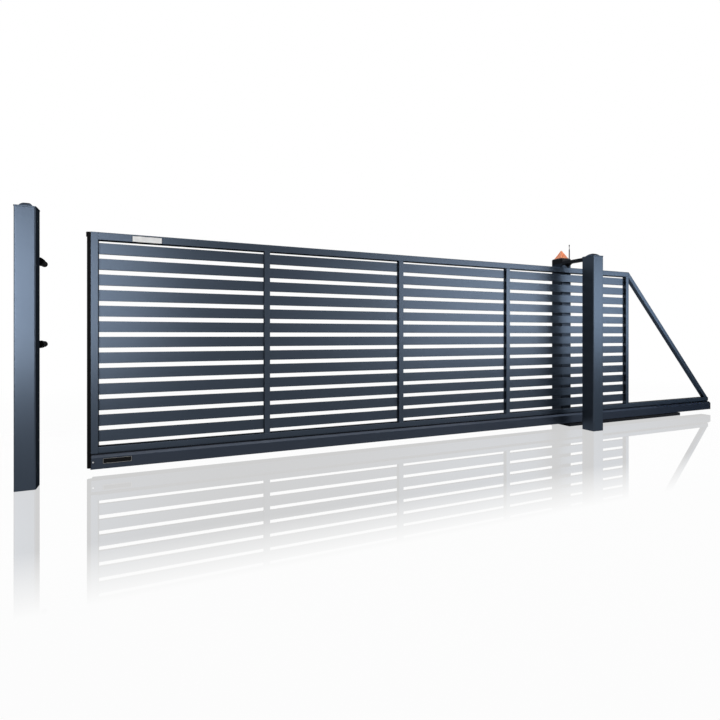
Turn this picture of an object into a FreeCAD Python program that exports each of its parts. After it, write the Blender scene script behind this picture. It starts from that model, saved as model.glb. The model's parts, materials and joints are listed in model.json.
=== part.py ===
"""Cantilever sliding driveway gate: a slatted leaf on a C-section track that runs over two roller
trolleys, passes between a front guide post and a drive post, and closes on a receiving post.

Units are millimetres, +Z is up. +X runs along the gate towards its tail and +Y away from the road.
The origin is the centre of the front guide post's foot, at ground level. The leaf is drawn where the
photograph shows it, a little short of closed.
"""
import FreeCAD
import Part
import Sketcher
import os

doc = FreeCAD.newDocument("gate")

SIZES = [
    # posts
    ("guide_side", 127, "front guide post and drive post, outside"),
    ("guide_wall", 4, "wall of the guide and drive posts"),
    ("guide_h", 1608, "top of the front guide post's and the receiving post's tubes"),
    ("post_over", 73, "tops of the posts' tubes above the top of the leaf"),
    ("drive_y", 371.5, "drive post's centre line behind the front guide post's"),
    ("head_drop", 18, "top of the drive post's tube below the front guide post's"),
    ("recv_side", 106, "receiving post, outside"),
    ("recv_wall", 4, "wall of the receiving post"),
    ("recv_y", 66, "receiving post's centre line"),
    ("shut_gap", 226, "gap still open between the safety edge and the receiving post"),
    ("post_round", 8, "outside corner radius of the posts"),
    ("foot_t", 8, "plate closing the foot of a post"),
    ("cap_rim", 7, "straight rim of a post cap"),
    ("cap_over", 1.5, "overhang of a post cap"),
    ("cap_rise", 26, "height of a post cap's dome above its rim"),
    ("cap_in", 20, "foot of the dome in from the edge of the cap"),
    # receiving post's stop pegs
    ("peg_in", 3.5, "centre line of the stop pegs in from the post's right face"),
    ("peg_z_low", 826, "height of the lower peg"),
    ("peg_z_high", 1318, "height of the upper peg"),
    ("peg_root_d", 45, "thick end of a peg"),
    ("peg_root_len", 58, "length of the thick end"),
    ("peg_nose_d", 37, "thin end of a peg"),
    ("peg_len", 149, "whole length of a peg"),
    ("peg_round", 14, "rounding of a peg's end"),
    # leaf
    ("leaf_y", 220, "front face of the leaf's frame"),
    ("stile_x", -4094.5, "centre line of the front stile"),
    ("face", 40, "width of stiles, mullions and rails seen from the front"),
    ("frame_d", 60, "depth of the front stile, top rail and bottom rail"),
    ("frame_wall", 3, "wall of the frame tubes"),
    ("mull_d", 40, "depth of mullions, rear stile and tail brace"),
    ("mull_wall", 2, "wall of mullions, rear stile and tail brace"),
    ("bay", 1098, "spacing of the mullions"),
    ("rear_bay", 458, "spacing of the rear stile from the last mullion"),
    ("tail_len", 6185, "end of the bottom rail behind the front stile's centre line"),
    ("top_h", 48, "height of the top rail"),
    ("slat_h", 70, "height of a slat"),
    ("slat_t", 20, "thickness of a slat"),
    ("slat_wall", 1.5, "wall of a slat"),
    ("slat_in", 20, "slats set back from the frame's front face"),
    ("slat_gap", 30, "gap between slats"),
    ("gap_top", 15, "least gap between the top slat and the top rail"),
    ("brace_in", 12, "foot of the tail brace in from the end of the bottom rail"),
    ("edge_out", 25, "safety edge, proud of the front stile"),
    ("edge_w", 36, "width of the safety edge"),
    ("edge_wall", 4, "wall of the safety edge"),
    ("edge_low", 1, "lower end of the safety edge above the underside of the track"),
    ("edge_cap_h", 28, "height of the safety edge's end cap"),
    ("edge_cap_over", 4.5, "safety edge's end cap, proud of the strip"),
    # track
    ("ground_gap", 35, "ground clearance under the track"),
    ("track_w", 98, "outside width of the track"),
    ("track_h", 87, "height of the track to the top of its shoulders"),
    ("track_wall", 5, "wall of the track"),
    ("track_slot", 36, "slot along the underside of the track"),
    ("shoulder_w", 20, "width of the sloping shoulder"),
    ("shoulder_h", 15, "height of the sloping shoulder"),
    ("neck_w", 44, "neck between track and bottom rail, across"),
    ("neck_h", 8, "height of the neck"),
    ("cap_t", 4, "plate closing the front end of the track"),
    ("tail_cap_t", 15, "block closing the tail end of the track"),
    ("tail_round", 5, "rounding of the tail block"),
    # base and trolleys
    ("base_x", -72.5, "left end of the base channel"),
    ("base_short", 520, "tail end of the track past the right end of the base channel"),
    ("base_y", 203, "front edge of the base channel"),
    ("base_w", 240, "width of the base channel"),
    ("base_h", 28, "height of the base channel"),
    ("base_wall", 8, "wall of the base channel"),
    ("trolley_in", 222.5, "middle of a trolley in from the end of the base channel"),
    ("trolley_len", 270, "length of a trolley's side plate"),
    ("trolley_t", 12, "thickness of a trolley's side plate"),
    ("trolley_h", 40, "height of a trolley's side plate"),
    ("ped_gap", 2, "gap between a trolley's pedestal and its wheels, along the gate"),
    ("slot_gap", 7, "gap between a trolley's pedestal and the edge of the track's slot"),
    ("wheel_base", 190, "spacing of the wheels in a trolley"),
    ("run_gap", 0.5, "gap between the wheels and the track's ceiling"),
    ("wheel_low", 6.5, "gap between the wheels and the track's lips"),
    ("wheel_side", 1.3, "wheels in from the slope of the track's shoulders"),
    # top guide
    ("arm_in", 0.5, "cross arm in from the front guide post's left face"),
    ("arm_w", 46, "width of the cross arm"),
    ("arm_h", 30, "height of the cross arm"),
    ("arm_drop", 1, "top of the cross arm below the front guide post's tube"),
    ("arm_wall", 3, "wall of the cross arm"),
    ("boss_top_d", 76, "roller boss under the arm, top"),
    ("boss_low_d", 20, "roller boss under the arm, bottom"),
    ("boss_h", 25, "height of the roller boss"),
    ("roller_gap", 5, "gap between the guide roller and the top rail's walls"),
    ("roller_lift", 10, "guide roller above the floor of the top rail"),
    ("roller_h", 28, "height of the guide roller"),
    ("spindle_d", 14, "spindle of the guide roller"),
    # drive head
    ("head_over", 1.5, "overhang of the drive post's head"),
    ("head_h", 55, "height of the drive post's head"),
    ("head_round", 13, "outside corner radius of the head"),
    ("head_bevel", 8, "bevel round the top of the head"),
    ("lamp_in", 10, "foot of the warning lamp in from the bevel"),
    ("lamp_foot_h", 6, "straight foot of the warning lamp"),
    ("lamp_step", 3, "lens of the warning lamp in from its foot"),
    ("lamp_h", 82, "height of the warning lamp"),
    ("lamp_tip", 8, "flat tip of the warning lamp"),
    ("aerial_in", 5, "aerial in from the bevel at the right front corner"),
    ("aerial_low_d", 10, "thick lower part of the aerial"),
    ("aerial_low_h", 92, "height of the aerial's lower part"),
    ("aerial_d", 5, "thin upper part of the aerial"),
    ("aerial_h", 138, "height of the aerial"),
    ("aerial_tip_d", 10, "knob on the aerial's tip"),
    ("aerial_tip_h", 14, "height of the knob"),
]

sizes = doc.addObject("Spreadsheet::Sheet", "sizes")
for row, (alias, value, note) in enumerate(SIZES, start=1):
    sizes.set("A%d" % row, note)
    sizes.set("B%d" % row, str(value))
    sizes.setAlias("B%d" % row, alias)
doc.recompute()

ALIASES = sorted((alias for alias, _, _ in SIZES), key=len, reverse=True)


def ex(text):
    """Expression over the sheet, from text in which the aliases stand alone."""
    out = []
    word = ""
    for char in text + " ":
        if char.isalnum() or char == "_":
            word += char
            continue
        out.append("sizes." + word if word in ALIASES else word)
        out.append(char)
        word = ""
    return "".join(out).strip()


def num(text):
    """Value of an expression over the sheet."""
    return float(sizes.evalExpression(ex(text)))


def new_body(label):
    """Empty body for one sub-part."""
    body = doc.addObject("PartDesign::Body", "body_" + label)
    body.Label = label
    body.AllowCompound = True
    return body


def plane(body, role):
    """One of a body's own origin planes or axes."""
    for feature in body.Origin.OriginFeatures:
        if feature.Role == role:
            return feature
    raise ValueError(role)


def new_sketch(body, name, role, offset="0"):
    """Sketch on one of the body's origin planes, moved along the plane's normal."""
    sketch = body.newObject("Sketcher::SketchObject", name)
    sketch.AttachmentSupport = (plane(body, role), [""])
    sketch.MapMode = "FlatFace"
    sketch.setExpression("AttachmentOffset.Base.z", ex(offset))
    return sketch


def hold(sketch, kind, geo, pos, text):
    """Hold one coordinate of a point of the sketch at an expression."""
    index = sketch.addConstraint(Sketcher.Constraint(kind, -1, 1, geo, pos, num(text)))
    name = "%s_%d_%d" % (kind[-1].lower(), geo, pos)
    sketch.renameConstraint(index, name)
    sketch.setExpression("Constraints." + name, ex(text))


def pin(sketch, geo, pos, x, y):
    """Hold a point of the sketch at two expressions."""
    hold(sketch, "DistanceX", geo, pos, x)
    hold(sketch, "DistanceY", geo, pos, y)


def arc_between(start, end, centre):
    """Arc of a circle from start to end, anticlockwise about the centre."""
    first = (start - centre).getAngle(FreeCAD.Vector(1, 0, 0))
    last = (end - centre).getAngle(FreeCAD.Vector(1, 0, 0))
    first = -first if start.y < centre.y else first
    last = -last if end.y < centre.y else last
    ring = Part.Circle(centre, FreeCAD.Vector(0, 0, 1), (start - centre).Length)
    return Part.ArcOfCircle(ring, first, last)


def polygon(sketch, points):
    """Closed outline through points given as expressions.

    A point of two expressions starts a straight line. One of four starts an arc about the centre
    that its last two give, and a fifth item, "clockwise", turns the arc the other way.
    """
    count = len(points)
    flat = [FreeCAD.Vector(num(point[0]), num(point[1]), 0) for point in points]
    ends = []
    for i, point in enumerate(points):
        start = flat[i]
        end = flat[(i + 1) % count]
        if len(point) == 2:
            ends.append((sketch.addGeometry(Part.LineSegment(start, end), False), 1, 2))
            continue
        centre = FreeCAD.Vector(num(point[2]), num(point[3]), 0)
        if len(point) == 5:
            ends.append((sketch.addGeometry(arc_between(end, start, centre), False), 2, 1))
        else:
            ends.append((sketch.addGeometry(arc_between(start, end, centre), False), 1, 2))
    for i, (geo, first, last) in enumerate(ends):
        following = ends[(i + 1) % count]
        sketch.addConstraint(Sketcher.Constraint("Coincident", geo, last, following[0], following[1]))
    for i, point in enumerate(points):
        geo, first, last = ends[i]
        pin(sketch, geo, first, point[0], point[1])
        if len(point) == 2:
            continue
        if abs(flat[i].y - flat[(i + 1) % count].y) < 1e-6:
            hold(sketch, "DistanceY", geo, 3, point[3])
        else:
            hold(sketch, "DistanceX", geo, 3, point[2])


def rectangle(sketch, x0, y0, x1, y1):
    """Rectangle between two corners."""
    polygon(sketch, [(x0, y0), (x1, y0), (x1, y1), (x0, y1)])


def square_tube(sketch, side, wall):
    """Square ring about the sketch's origin."""
    half = "%s / 2" % side
    inner = "%s / 2 - %s" % (side, wall)
    rectangle(sketch, "-(%s)" % half, "-(%s)" % half, half, half)
    rectangle(sketch, "-(%s)" % inner, "-(%s)" % inner, inner, inner)


def circle(sketch, x, y, diameter):
    """Circle with its centre and diameter held."""
    geo = sketch.GeometryCount
    centre = FreeCAD.Vector(num(x), num(y), 0)
    sketch.addGeometry(Part.Circle(centre, FreeCAD.Vector(0, 0, 1), num(diameter) / 2), False)
    pin(sketch, geo, 3, x, y)
    index = sketch.addConstraint(Sketcher.Constraint("Diameter", geo, num(diameter)))
    sketch.renameConstraint(index, "d_%d" % geo)
    sketch.setExpression("Constraints.d_%d" % geo, ex(diameter))


def pad(body, sketch, length, middle=False):
    """Pad of a sketch along its normal, or to both sides."""
    feature = body.newObject("PartDesign::Pad", sketch.Name + "_pad")
    feature.Profile = sketch
    feature.setExpression("Length", ex(length))
    feature.Midplane = middle
    sketch.Visibility = False
    return feature


def turn(body, sketch, role="Z_Axis"):
    """Full revolution of a sketch about one of the body's axes."""
    feature = body.newObject("PartDesign::Revolution", sketch.Name + "_turn")
    feature.Profile = sketch
    feature.ReferenceAxis = (plane(body, role), [""])
    feature.Angle = 360
    sketch.Visibility = False
    return feature


def place(body, x, y, z):
    """Place a sub-part by expressions."""
    for axis, text in (("x", x), ("y", y), ("z", z)):
        body.setExpression("Placement.Base." + axis, ex(text))


def edges_of(feature, keep):
    """Names of a feature's edges that pass a test."""
    names = []
    for index, edge in enumerate(feature.Shape.Edges, start=1):
        if keep(edge):
            names.append("Edge%d" % index)
    return names


def corner_edges(feature, side):
    """Upright edges at the outside corners of a square section."""
    half = num(side) / 2

    def keep(edge):
        points = [vertex.Point for vertex in edge.Vertexes]
        if len(points) != 2:
            return False
        at_corner = all(abs(abs(p.x) - half) < 1e-4 and abs(abs(p.y) - half) < 1e-4 for p in points)
        return at_corner and abs(points[0].z - points[1].z) > 1.0

    return edges_of(feature, keep)


def post(label, side, wall, top, foot, x, y):
    """Square post with rounded corners, closed at its foot, standing on the height foot."""
    body = new_body(label)
    ring = new_sketch(body, label + "_ring", "XY_Plane")
    square_tube(ring, side, wall)
    shaft = pad(body, ring, "%s - (%s)" % (top, foot))
    doc.recompute()
    rounded = body.newObject("PartDesign::Fillet", label + "_round")
    rounded.Base = (shaft, corner_edges(shaft, side))
    rounded.setExpression("Radius", ex("post_round"))
    sole = new_sketch(body, label + "_sole", "XY_Plane")
    inner = "%s / 2 - %s" % (side, wall)
    rectangle(sole, "-(%s)" % inner, "-(%s)" % inner, inner, inner)
    pad(body, sole, "foot_t")
    place(body, x, y, foot)
    return body


def post_cap(label, side, top, x, y):
    """Cap with a straight rim and a low dome of four curved sides."""
    body = new_body(label)
    over = "%s / 2 + cap_over" % side
    rim = new_sketch(body, label + "_rim", "XY_Plane")
    rectangle(rim, "-(%s)" % over, "-(%s)" % over, over, over)
    plate = pad(body, rim, "cap_rim")
    doc.recompute()
    rounded = body.newObject("PartDesign::Fillet", label + "_round")
    rounded.Base = (plate, corner_edges(plate, side + " + 2 * cap_over"))
    rounded.setExpression("Radius", ex("post_round"))
    foot = "(%s / 2 + cap_over - cap_in)" % side
    crown = "cap_rim + cap_rise"
    ball = "(%s - (%s ^ 2 + cap_rise ^ 2) / (2 * cap_rise))" % (crown, foot)
    arch = new_sketch(body, label + "_arch", "XZ_Plane")
    polygon(arch, [("-%s" % foot, "cap_rim"), (foot, "cap_rim", "0", ball)])
    pad(body, arch, "2 * %s" % foot, True)
    above = new_sketch(body, label + "_above", "YZ_Plane")
    polygon(above, [
        (foot, "cap_rim", "0", ball),
        ("-%s" % foot, "cap_rim"),
        ("-%s" % foot, crown + " + cap_rim"),
        (foot, crown + " + cap_rim"),
    ])
    cross = body.newObject("PartDesign::Pocket", label + "_cross")
    cross.Profile = above
    cross.setExpression("Length", ex("2 * %s" % foot))
    cross.Midplane = True
    above.Visibility = False
    place(body, x, y, top)
    return body


def tube_along(label, depth, height, wall, length, x, y, z):
    """Rectangular tube along +X from its lower front corner."""
    body = new_body(label)
    ring = new_sketch(body, label + "_ring", "YZ_Plane")
    rectangle(ring, "0", "0", depth, height)
    rectangle(ring, wall, wall, "%s - %s" % (depth, wall), "%s - %s" % (height, wall))
    pad(body, ring, length)
    place(body, x, y, z)
    return body


def tube_up(label, width, depth, wall, length, x, y, z):
    """Rectangular tube along +Z from its lower left front corner."""
    body = new_body(label)
    ring = new_sketch(body, label + "_ring", "XY_Plane")
    rectangle(ring, "0", "0", width, depth)
    rectangle(ring, wall, wall, "%s - %s" % (width, wall), "%s - %s" % (depth, wall))
    pad(body, ring, length)
    place(body, x, y, z)
    return body


# Heights of the leaf, from the ground up, and places along the gate.
Z_TRACK = "ground_gap"
Z_RAIL = "(ground_gap + track_h + neck_h)"
Z_OPEN = "(ground_gap + track_h + neck_h + face)"
LEAF_TOP = "(guide_h - post_over)"
Z_TOP = "(guide_h - post_over - top_h)"
OPEN_H = "(guide_h - post_over - top_h - ground_gap - track_h - neck_h - face)"
SLATS = "floor((%s - gap_top) / (slat_h + slat_gap))" % OPEN_H
DRIVE_TOP = "(guide_h - head_drop)"
ARM_Z = "(guide_h - arm_drop - arm_h)"
ARM_X = "(arm_in + arm_w / 2 - guide_side / 2)"
MIDDLE_Y = "(leaf_y + frame_d / 2)"
NOSE_X = "(stile_x - face / 2)"
RECV_X = "(stile_x - face / 2 - edge_out - shut_gap - recv_side / 2)"
PEG_X = "(stile_x - face / 2 - edge_out - shut_gap - peg_in)"
REAR_X = "(4 * bay + rear_bay)"
BASE_END = "(stile_x + tail_len - base_short)"
HEAD_TOP = "(guide_side / 2 + head_over - head_bevel)"

# Front guide post, drive post and receiving post with their caps.
post("front_guide_post", "guide_side", "guide_wall", "guide_h", "0", "0", "0")
post_cap("front_guide_post_cap", "guide_side", "guide_h", "0", "0")
post("drive_post", "guide_side", "guide_wall", DRIVE_TOP, "base_h", "0", "drive_y")
post("receiving_post", "recv_side", "recv_wall", "guide_h", "0", RECV_X, "recv_y")
post_cap("receiving_post_cap", "recv_side", "guide_h", RECV_X, "recv_y")


def stop_pegs():
    """Two stepped pegs with rounded ends, standing out behind the receiving post."""
    body = new_body("stop_pegs")
    outline = new_sketch(body, "stop_pegs_outline", "YZ_Plane")
    polygon(outline, [
        ("0", "0"),
        ("0", "peg_root_d / 2"),
        ("peg_root_len", "peg_root_d / 2"),
        ("peg_root_len", "peg_nose_d / 2"),
        ("peg_len - peg_round", "peg_nose_d / 2",
         "peg_len - peg_round", "peg_nose_d / 2 - peg_round", "clockwise"),
        ("peg_len", "peg_nose_d / 2 - peg_round"),
        ("peg_len", "0"),
    ])
    peg = turn(body, outline, "Y_Axis")
    pair = body.newObject("PartDesign::LinearPattern", "stop_pegs_pair")
    pair.Originals = [peg]
    pair.Direction = (plane(body, "Z_Axis"), [""])
    pair.setExpression("Length", ex("peg_z_high - peg_z_low"))
    pair.Occurrences = 2
    body.Tip = pair
    place(body, PEG_X, "recv_y + recv_side / 2", "peg_z_low")


stop_pegs()

# Leaf frame.
tube_up("front_stile", "face", "frame_d", "frame_wall", LEAF_TOP + " - " + Z_RAIL,
        NOSE_X, "leaf_y", Z_RAIL)
tube_along("bottom_rail", "frame_d", "face", "frame_wall", "tail_len - face / 2",
           "stile_x + face / 2", "leaf_y", Z_RAIL)


def top_rail():
    """Top rail: a channel open upwards, in which the guide roller runs."""
    body = new_body("top_rail")
    outline = new_sketch(body, "top_rail_outline", "YZ_Plane")
    inner = "frame_d - frame_wall"
    polygon(outline, [
        ("0", "0"),
        ("frame_d", "0"),
        ("frame_d", "top_h"),
        (inner, "top_h"),
        (inner, "frame_wall"),
        ("frame_wall", "frame_wall"),
        ("frame_wall", "top_h"),
        ("0", "top_h"),
    ])
    pad(body, outline, REAR_X)
    place(body, "stile_x + face / 2", "leaf_y", Z_TOP)


top_rail()

for number in range(1, 5):
    tube_up("mullion_%d" % number, "face", "mull_d", "mull_wall", OPEN_H,
            "stile_x + %d * bay - face / 2" % number, "leaf_y", Z_OPEN)
tube_up("rear_stile", "face", "mull_d", "mull_wall", OPEN_H,
        "stile_x + %s - face / 2" % REAR_X, "leaf_y", Z_OPEN)


def slat_bay(number, start, length):
    """Row of equal slats across one bay."""
    label = "slats_bay_%d" % number
    body = new_body(label)
    ring = new_sketch(body, label + "_ring", "YZ_Plane")
    rectangle(ring, "0", "0", "slat_t", "slat_h")
    rectangle(ring, "slat_wall", "slat_wall", "slat_t - slat_wall", "slat_h - slat_wall")
    slat = pad(body, ring, length)
    rows = body.newObject("PartDesign::LinearPattern", label + "_rows")
    rows.Originals = [slat]
    rows.Direction = (plane(body, "Z_Axis"), [""])
    rows.setExpression("Length", ex("(%s - 1) * (slat_h + slat_gap)" % SLATS))
    rows.setExpression("Occurrences", ex(SLATS))
    body.Tip = rows
    place(body, start, "leaf_y + slat_in", Z_OPEN + " + slat_gap")


for number in range(1, 5):
    slat_bay(number, "stile_x + %d * bay + face / 2" % (number - 1), "bay - face")
slat_bay(5, "stile_x + 4 * bay + face / 2", "rear_bay - face")


def tail_brace():
    """Diagonal tube from the top of the rear stile to the tail end of the bottom rail."""
    body = new_body("tail_brace")
    run = "(tail_len - %s - face / 2 - brace_in)" % REAR_X
    rise = "(%s - %s)" % (LEAF_TOP, Z_OPEN)
    slant = "sqrt(1 + (%s / %s) ^ 2)" % (rise, run)

    def band(sketch, upper, lower):
        """Sloping band between two depths below the brace's top face."""
        polygon(sketch, [
            ("0", "%s - %s * %s" % (rise, upper, slant)),
            ("0", "%s - %s * %s" % (rise, lower, slant)),
            ("%s - %s * %s * %s / %s" % (run, lower, slant, run, rise), "0"),
            ("%s - %s * %s * %s / %s" % (run, upper, slant, run, rise), "0"),
        ])

    outline = new_sketch(body, "tail_brace_outline", "XZ_Plane")
    band(outline, "0", "mull_d")
    beam = pad(body, outline, "mull_d")
    beam.Reversed = True
    hollow = new_sketch(body, "tail_brace_hollow", "XZ_Plane", "-(mull_wall)")
    band(hollow, "mull_wall", "(mull_d - mull_wall)")
    bore = body.newObject("PartDesign::Pocket", "tail_brace_bore")
    bore.Profile = hollow
    bore.setExpression("Length", ex("mull_d - 2 * mull_wall"))
    hollow.Visibility = False
    place(body, "stile_x + %s + face / 2" % REAR_X, "leaf_y", Z_OPEN)


tail_brace()


def safety_edge():
    """Hollow rubber strip with a rounded nose along the leaf's front, closed by a thicker end cap."""
    body = new_body("safety_edge")
    flank = "-(edge_out - edge_w / 2)"
    length = "(%s - %s - edge_low)" % (LEAF_TOP, Z_TRACK)

    def nose(sketch, half, back):
        """Flat back, straight flanks and a round nose."""
        polygon(sketch, [
            (back, "-(%s)" % half),
            (back, half),
            (flank, half, flank, "0"),
            (flank, "-(%s)" % half),
        ])

    strip = new_sketch(body, "safety_edge_strip", "XY_Plane")
    nose(strip, "edge_w / 2", "0")
    nose(strip, "edge_w / 2 - edge_wall", "-(edge_wall)")
    pad(body, strip, length)
    end = new_sketch(body, "safety_edge_end", "XY_Plane", "%s - edge_cap_h" % length)
    nose(end, "edge_w / 2 + edge_cap_over", "0")
    pad(body, end, "edge_cap_h")
    place(body, NOSE_X, MIDDLE_Y, "%s + edge_low" % Z_TRACK)


safety_edge()


# Half width of the flat ceiling inside the track, between its sloping shoulders.
SLOPE = "(shoulder_h / shoulder_w)"
SLANT = "sqrt(1 + (shoulder_h / shoulder_w) ^ 2)"
CEILING = "(track_w / 2 - (shoulder_h - track_wall + track_wall * %s) / %s)" % (SLANT, SLOPE)


def track():
    """C-section track, open below, with sloping shoulders and a neck under the bottom rail."""
    body = new_body("track")
    outline = new_sketch(body, "track_outline", "YZ_Plane")
    half = "track_w / 2"
    wall = "track_wall"
    right = [
        ("track_slot / 2", "0"),
        (half, "0"),
        (half, "track_h - shoulder_h"),
        ("%s - shoulder_w" % half, "track_h"),
        ("neck_w / 2", "track_h"),
        ("neck_w / 2", "track_h + neck_h"),
    ]
    inside = [
        (CEILING, "track_h - %s" % wall),
        ("%s - %s" % (half, wall), "track_h - shoulder_h + %s * (%s - %s)" % (wall, SLOPE, SLANT)),
        ("%s - %s" % (half, wall), wall),
        ("track_slot / 2", wall),
    ]
    left = [("-(%s)" % y, z) for y, z in reversed(right)]
    inside_left = [("-(%s)" % y, z) for y, z in reversed(inside)]
    polygon(outline, right + left + inside_left + inside)
    pad(body, outline, "tail_len + face / 2 - cap_t")
    place(body, NOSE_X + " + cap_t", MIDDLE_Y, Z_TRACK)


track()


def track_end(label, thickness, x):
    """Plate over an end of the track."""
    body = new_body(label)
    outline = new_sketch(body, label + "_outline", "YZ_Plane")
    half = "track_w / 2"
    polygon(outline, [
        ("-(%s)" % half, "0"),
        (half, "0"),
        (half, "track_h - shoulder_h"),
        ("%s - shoulder_w" % half, "track_h"),
        ("-(%s - shoulder_w)" % half, "track_h"),
        ("-(%s)" % half, "track_h - shoulder_h"),
    ])
    plate = pad(body, outline, thickness)
    place(body, x, MIDDLE_Y, Z_TRACK)
    return body, plate


track_end("track_front_cap", "cap_t", NOSE_X)


def track_tail():
    """Block closing the tail end of the track, rounded on its outer face."""
    body, plate = track_end("track_tail_cap", "tail_cap_t", "stile_x + tail_len")
    doc.recompute()

    def on_end(edge):
        return all(abs(vertex.Point.x - num("tail_cap_t")) < 1e-4 for vertex in edge.Vertexes)

    rounded = body.newObject("PartDesign::Fillet", "track_tail_cap_round")
    rounded.Base = (plate, edges_of(plate, on_end))
    rounded.setExpression("Radius", ex("tail_round"))


track_tail()


def base_channel():
    """Low channel on the ground, open below and closed at its ends, under the trolleys and drive post."""
    body = new_body("base_channel")
    outline = new_sketch(body, "base_channel_outline", "YZ_Plane")
    polygon(outline, [
        ("0", "0"),
        ("base_wall", "0"),
        ("base_wall", "base_h - base_wall"),
        ("base_w - base_wall", "base_h - base_wall"),
        ("base_w - base_wall", "0"),
        ("base_w", "0"),
        ("base_w", "base_h"),
        ("0", "base_h"),
    ])
    pad(body, outline, "%s - base_x" % BASE_END)
    for name, foot in (("left", "0"), ("right", "%s - base_x - base_wall" % BASE_END)):
        plate = new_sketch(body, "base_channel_%s_end" % name, "YZ_Plane", foot)
        rectangle(plate, "0", "0", "base_w", "base_h")
        pad(body, plate, "base_wall")
    place(body, "base_x", "base_y", "0")


base_channel()


WHEEL_D = "(track_h - 2 * track_wall - run_gap - wheel_low)"
WHEEL_Z = "(ground_gap + track_wall + wheel_low + %s / 2)" % WHEEL_D
WHEEL_W = "(%s - wheel_side - trolley_t / 2)" % CEILING


def trolley(number, x):
    """Side plate on a pedestal that reaches up through the track's slot, with four wheels."""
    label = "trolley_%d" % number
    body = new_body(label)
    low = "%s - trolley_h / 2" % WHEEL_Z
    outline = new_sketch(body, label + "_side", "XZ_Plane")
    half = "trolley_len / 2"
    polygon(outline, [
        ("-(%s - trolley_h / 2)" % half, low),
        ("%s - trolley_h / 2" % half, low, "%s - trolley_h / 2" % half, WHEEL_Z),
        ("%s - trolley_h / 2" % half, "%s + trolley_h / 2" % WHEEL_Z),
        ("-(%s - trolley_h / 2)" % half, "%s + trolley_h / 2" % WHEEL_Z,
         "-(%s - trolley_h / 2)" % half, WHEEL_Z),
    ])
    pad(body, outline, "trolley_t", True)
    foot = new_sketch(body, label + "_pedestal", "XZ_Plane")
    reach = "((wheel_base - %s) / 2 - ped_gap)" % WHEEL_D
    rectangle(foot, "-%s" % reach, "base_h", reach, low)
    pad(body, foot, "track_slot - 2 * slot_gap", True)
    place(body, x, MIDDLE_Y, "0")

    wheels = new_body(label + "_wheels")
    for side, name in ((1, "back"), (-1, "front")):
        disc = new_sketch(wheels, "%s_%s" % (label, name), "XZ_Plane",
                          "%d * (trolley_t / 2 + %s / 2)" % (-side, WHEEL_W))
        for sign in ("-", ""):
            circle(disc, "%s(wheel_base / 2)" % sign, WHEEL_Z, WHEEL_D)
        pad(wheels, disc, WHEEL_W, True)
    place(wheels, x, MIDDLE_Y, "0")


trolley(1, "base_x + trolley_in")
trolley(2, "%s - trolley_in" % BASE_END)

# Cross arm between the posts, with the roller boss, spindle and guide roller below it.


def cross_arm():
    """Rectangular tube across the leaf from the front guide post to the drive post's head."""
    body = new_body("cross_arm")
    ring = new_sketch(body, "cross_arm_ring", "XZ_Plane")
    half = "arm_w / 2"
    rectangle(ring, "-(%s)" % half, "0", half, "arm_h")
    rectangle(ring, "-(%s - arm_wall)" % half, "arm_wall", "%s - arm_wall" % half, "arm_h - arm_wall")
    beam = pad(body, ring, "drive_y - guide_side - head_over")
    beam.Reversed = True
    place(body, ARM_X, "guide_side / 2", ARM_Z)


cross_arm()


ROLLER_Z = "(%s + frame_wall + roller_lift)" % Z_TOP


def roller_boss():
    """Tapered boss under the arm with the roller's spindle."""
    body = new_body("roller_boss")
    outline = new_sketch(body, "roller_boss_outline", "XZ_Plane")
    spindle = "spindle_d / 2"
    low = "%s + roller_h - %s" % (ROLLER_Z, ARM_Z)
    polygon(outline, [
        ("0", "0"),
        ("boss_top_d / 2", "0"),
        ("boss_low_d / 2", "-(boss_h)"),
        (spindle, "-(boss_h)"),
        (spindle, low),
        ("0", low),
    ])
    turn(body, outline)
    place(body, ARM_X, MIDDLE_Y, ARM_Z)


def guide_roller():
    """Roller on an upright spindle, inside the top rail's channel."""
    body = new_body("guide_roller")
    outline = new_sketch(body, "guide_roller_outline", "XY_Plane")
    circle(outline, "0", "0", "frame_d - 2 * frame_wall - 2 * roller_gap")
    pad(body, outline, "roller_h")
    place(body, ARM_X, MIDDLE_Y, ROLLER_Z)


roller_boss()
guide_roller()


def drive_head():
    """Head on the drive post, bevelled round its top."""
    body = new_body("drive_head")
    outline = new_sketch(body, "drive_head_outline", "XY_Plane")
    over = "guide_side / 2 + head_over"
    rectangle(outline, "-(%s)" % over, "-(%s)" % over, over, over)
    block = pad(body, outline, "head_h")
    doc.recompute()
    rounded = body.newObject("PartDesign::Fillet", "drive_head_round")
    rounded.Base = (block, corner_edges(block, "guide_side + 2 * head_over"))
    rounded.setExpression("Radius", ex("head_round"))
    doc.recompute()

    def on_top(edge):
        return all(abs(vertex.Point.z - num("head_h")) < 1e-4 for vertex in edge.Vertexes)

    bevel = body.newObject("PartDesign::Chamfer", "drive_head_bevel")
    bevel.Base = (rounded, edges_of(rounded, on_top))
    bevel.setExpression("Size", ex("head_bevel"))
    place(body, "0", "drive_y", DRIVE_TOP)


drive_head()


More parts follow.
